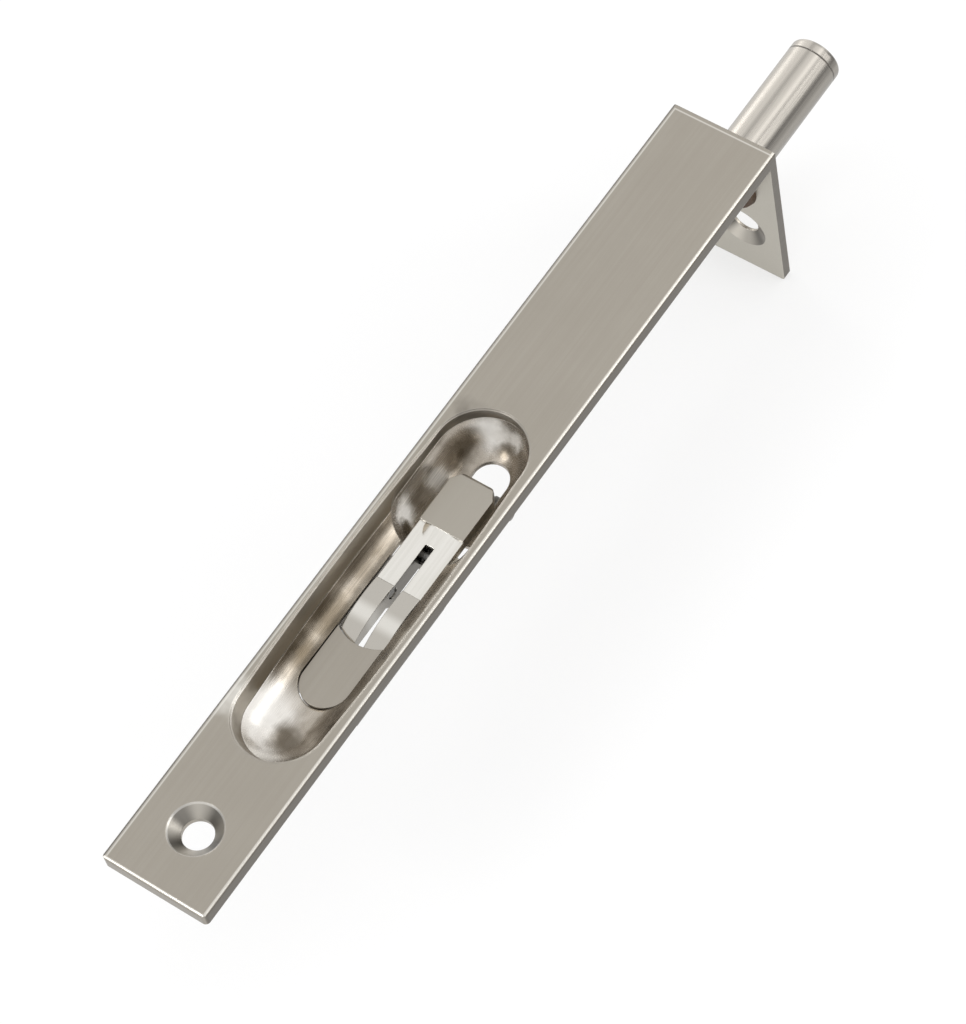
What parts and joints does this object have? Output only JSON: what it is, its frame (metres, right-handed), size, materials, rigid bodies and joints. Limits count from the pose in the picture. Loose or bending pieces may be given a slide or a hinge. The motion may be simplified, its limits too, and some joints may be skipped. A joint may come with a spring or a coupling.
{
  "type": "lever flush bolt",
  "caption": "Flush slide bolt: brushed face plate with a bent end plate and a finger pocket, where a flip lever draws a round bolt in and out through a bush.",
  "frame": {"origin": "on the lower screw hole's axis, on the back of the face plate", "axes": "+Y along the plate towards the bolt's tip, +Z out of the front face, X across the width"},
  "size_m": [0.019, 0.1783, 0.0349],
  "materials": {
    "satin_nickel": "satin nickel, brushed along the length",
    "pocket_nickel": "smooth satin nickel with soft reflections",
    "lever_nickel": "polished nickel with a brushed pad",
    "bolt_nickel": "turned satin nickel",
    "plated_steel": "plated steel",
    "spring_steel": "bright spring steel",
    "bush_bronze": "dark sintered bronze"
  },
  "bodies": {
    "plate": {"face_plate": "satin_nickel", "finger_cup": "pocket_nickel", "rest_land": "satin_nickel", "lever_carrier": "plated_steel", "carrier_screws": "plated_steel", "pivot_pins": "plated_steel", "detent_spring": "spring_steel", "detent_rivets": "plated_steel", "bar_guide": "plated_steel", "guide_screws": "plated_steel", "guide_bush": "bush_bronze", "friction_spring": "spring_steel", "spring_screw": "plated_steel"},
    "lever": {"lever": "lever_nickel", "crank_pin": "plated_steel"},
    "link": {"link": "plated_steel"},
    "bolt": {"drive_bar": "plated_steel", "clevis_pin": "plated_steel", "clevis_clip": "spring_steel", "rod_pin": "plated_steel", "bolt_rod": "bolt_nickel", "bolt_tip": "bolt_nickel"}
  },
  "joints": [
    {"name": "lever_flip", "type": "hinge", "parent": "plate", "child": "lever", "pos_m": [0, 0.0495, -0.0048], "axis": [1, 0, 0], "range_deg": [0, 160.2]},
    {"name": "bolt_slide", "type": "slide", "parent": "plate", "child": "bolt", "axis": [0, -1, 0], "range_m": [0, 0.02024]},
    {"name": "link_swing", "type": "hinge", "parent": "bolt", "child": "link", "pos_m": [0, 0.07367, -0.0147], "axis": [-1, 0, 0], "range_deg": [0, 23.25]}
  ],
  "couplings": [
    {"joint": "lever_flip", "follows": "bolt_slide", "rad_per_m": 137.96},
    {"joint": "link_swing", "follows": "bolt_slide", "rad_per_m": 19.966}
  ]
}
